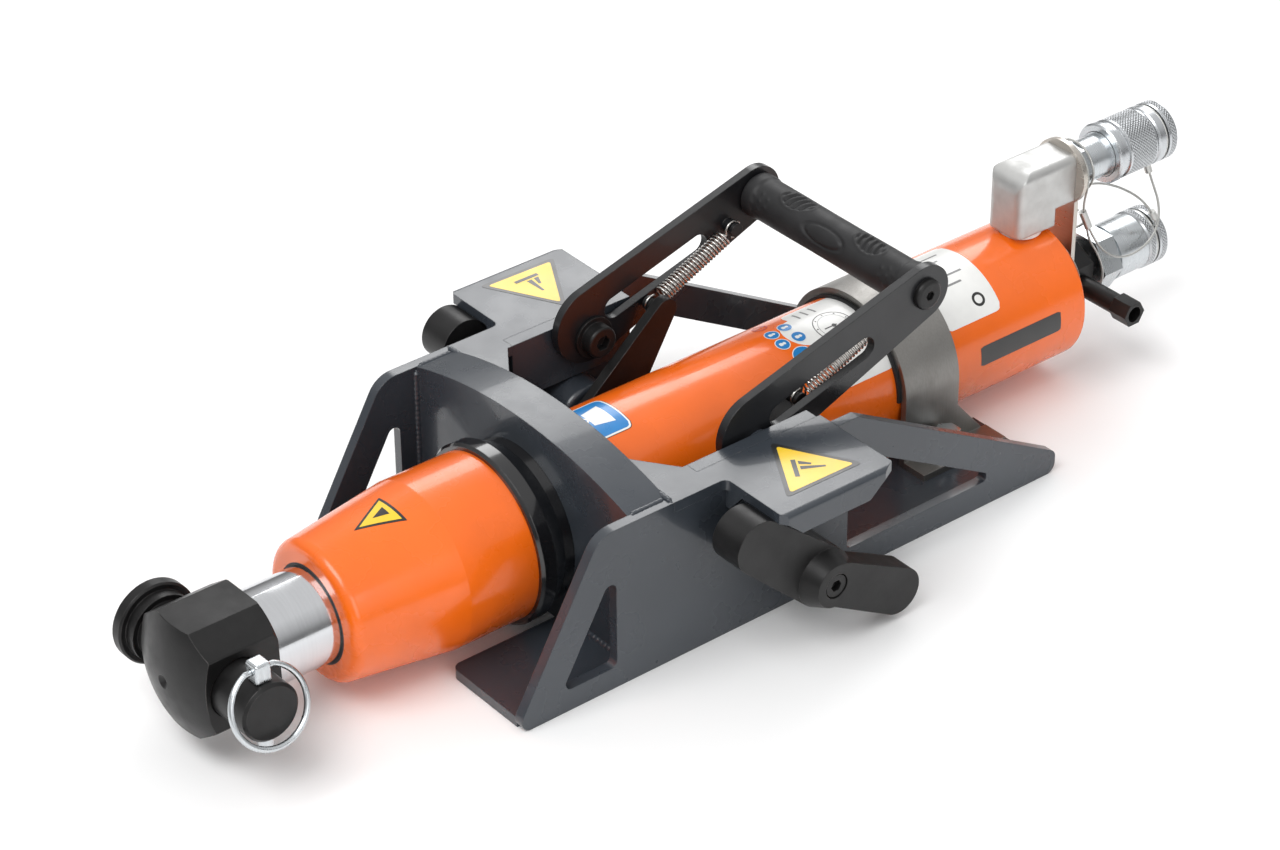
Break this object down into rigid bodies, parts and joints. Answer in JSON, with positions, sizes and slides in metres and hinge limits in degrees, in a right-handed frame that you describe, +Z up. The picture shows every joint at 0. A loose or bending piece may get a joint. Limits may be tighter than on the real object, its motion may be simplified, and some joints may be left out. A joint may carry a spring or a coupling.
{
  "type": "rescue spreader",
  "caption": "Hydraulic rescue ram with a plunger and cross-pinned head, held in a welded plate cradle with a swing handle, spring-loaded dog levers and rear hose couplers.",
  "frame": {"origin": "on the floor, under the middle of the cradle's bulkhead", "axes": "the ram lies along Y with the plunger to -Y, +X is the side that the head's pin comes out on, +Z is up"},
  "size_m": [0.286, 0.6803, 0.15],
  "materials": {
    "cradle_paint": "gloss anthracite paint",
    "orange_paint": "gloss orange paint",
    "gloss_black": "gloss black",
    "black_paint": "satin black",
    "black_steel": "black oxide, satin",
    "bare_steel": "brushed, scuffed",
    "stainless": "satin",
    "zinc": "bright zinc plate",
    "cast_fitting": "matt zinc plate on a forging",
    "spring_steel": "drawn wire",
    "wire_rope": "stranded wire",
    "hard_chrome": "polished",
    "black_rubber": "matt",
    "nylon": "matt"
  },
  "bodies": {
    "cradle": {"bulkhead": "cradle_paint", "side_plate_right": "cradle_paint", "side_plate_left": "cradle_paint", "base_strip_right": "cradle_paint", "base_strip_left": "cradle_paint", "wing_right": "cradle_paint", "wing_left": "cradle_paint", "pivot_web_right": "cradle_paint", "pivot_web_left": "cradle_paint", "shaft_boss_right": "cradle_paint", "shaft_boss_left": "cradle_paint", "retaining_strap": "bare_steel", "strap_liner": "black_rubber", "strap_bolts": "zinc", "ram_collar": "gloss_black", "cylinder_tube": "orange_paint", "nose_cone": "orange_paint", "rear_plug": "orange_paint", "rod_wiper": "black_rubber", "rod_seal": "black_rubber", "guide_ring": "nylon", "elbow_fitting": "cast_fitting", "elbow_washer": "nylon", "coupler_bracket": "stainless", "port_adapter": "black_steel", "feed_nipple": "black_steel", "upper_coupler_body": "zinc", "lower_coupler_body": "zinc", "upper_lanyard": "wire_rope", "lower_lanyard": "wire_rope", "neck_lanyard": "wire_rope", "lanyard_ferrules": "wire_rope", "pivot_bolts": "black_steel"},
    "plunger": {"piston_rod": "hard_chrome", "piston": "black_steel", "piston_rings": "black_rubber", "ram_head": "black_steel"},
    "head_pin": {"cross_pin": "black_steel", "lynch_pin": "zinc"},
    "pin_ring": {"lynch_ring": "zinc"},
    "handle": {"handle_arm_right": "black_paint", "handle_arm_left": "black_paint", "grip": "black_rubber", "grip_rod": "zinc", "grip_screws": "black_steel"},
    "coupler_sleeve": {"upper_coupler_sleeve": "zinc"},
    "upper_cap": {"upper_dust_cap": "zinc"},
    "lower_cap": {"lower_dust_cap": "zinc"},
    "dog_right": {"dog_lever_right": "black_steel", "dog_shaft_right": "black_steel", "dog_screw_right": "black_steel", "crank_right": "black_steel"},
    "spring_right": {"spring_right": "spring_steel"},
    "spring_hook_right": {"spring_hook_right": "spring_steel"},
    "dog_left": {"dog_lever_left": "black_steel", "dog_shaft_left": "black_steel", "dog_screw_left": "black_steel", "crank_left": "black_steel"},
    "spring_left": {"spring_left": "spring_steel"},
    "spring_hook_left": {"spring_hook_left": "spring_steel"}
  },
  "joints": [
    {"name": "plunger_slide", "type": "slide", "parent": "cradle", "child": "plunger", "axis": [0, -1, 0], "range_m": [0, 0.3]},
    {"name": "head_pin_float", "type": "slide", "parent": "plunger", "child": "head_pin", "axis": [0.999, 0, 0.0436], "range_m": [-0.013, 0.0075]},
    {"name": "pin_ring_swing", "type": "hinge", "parent": "head_pin", "child": "pin_ring", "pos_m": [0.04802, -0.2065, 0.07112], "axis": [0, -1, 0], "range_deg": [0, 140]},
    {"name": "handle_swing", "type": "hinge", "parent": "cradle", "child": "handle", "pos_m": [0, 0.0875, 0.0875], "axis": [1, 0, 0], "range_deg": [0, 68]},
    {"name": "coupler_sleeve_turn", "type": "hinge", "parent": "cradle", "child": "coupler_sleeve", "pos_m": [0, 0.4175, 0.116], "axis": [0, 1, 0], "range_deg": [-30, 30]},
    {"name": "upper_cap_turn", "type": "hinge", "parent": "cradle", "child": "upper_cap", "pos_m": [0, 0.441, 0.116], "axis": [0, 1, 0], "continuous": true},
    {"name": "lower_cap_turn", "type": "hinge", "parent": "cradle", "child": "lower_cap", "pos_m": [0, 0.4395, 0.0475], "axis": [0, 1, 0], "continuous": true},
    {"name": "dog_turn_right", "type": "hinge", "parent": "cradle", "child": "dog_right", "pos_m": [0.08, 0.08, 0.0416], "axis": [1, 0, 0], "range_deg": [0, 28.56]},
    {"name": "spring_swivel_right", "type": "hinge", "parent": "dog_right", "child": "spring_right", "pos_m": [0.0603, 0.124, 0.096], "axis": [1, 0, 0], "range_deg": [0, 39.1]},
    {"name": "spring_stretch_right", "type": "slide", "parent": "spring_right", "child": "spring_hook_right", "axis": [0, 0.9125, 0.4091], "range_m": [0, 0.0142], "deforming": ["spring_right", "spring_hook_right"]},
    {"name": "dog_turn_left", "type": "hinge", "parent": "cradle", "child": "dog_left", "pos_m": [-0.08, 0.08, 0.0416], "axis": [1, 0, 0], "range_deg": [0, 28.56]},
    {"name": "spring_swivel_left", "type": "hinge", "parent": "dog_left", "child": "spring_left", "pos_m": [-0.0603, 0.124, 0.096], "axis": [1, 0, 0], "range_deg": [0, 39.1]},
    {"name": "spring_stretch_left", "type": "slide", "parent": "spring_left", "child": "spring_hook_left", "axis": [0, 0.9125, 0.4091], "range_m": [0, 0.0142], "deforming": ["spring_left", "spring_hook_left"]}
  ],
  "couplings": [
    {"joint": "dog_turn_right", "follows": "handle_swing", "ratio": 0.42},
    {"joint": "spring_swivel_right", "follows": "handle_swing", "ratio": 0.575},
    {"joint": "spring_stretch_right", "follows": "handle_swing", "m_per_rad": 0.01196},
    {"joint": "dog_turn_left", "follows": "handle_swing", "ratio": 0.42},
    {"joint": "spring_swivel_left", "follows": "handle_swing", "ratio": 0.575},
    {"joint": "spring_stretch_left", "follows": "handle_swing", "m_per_rad": 0.01196}
  ]
}
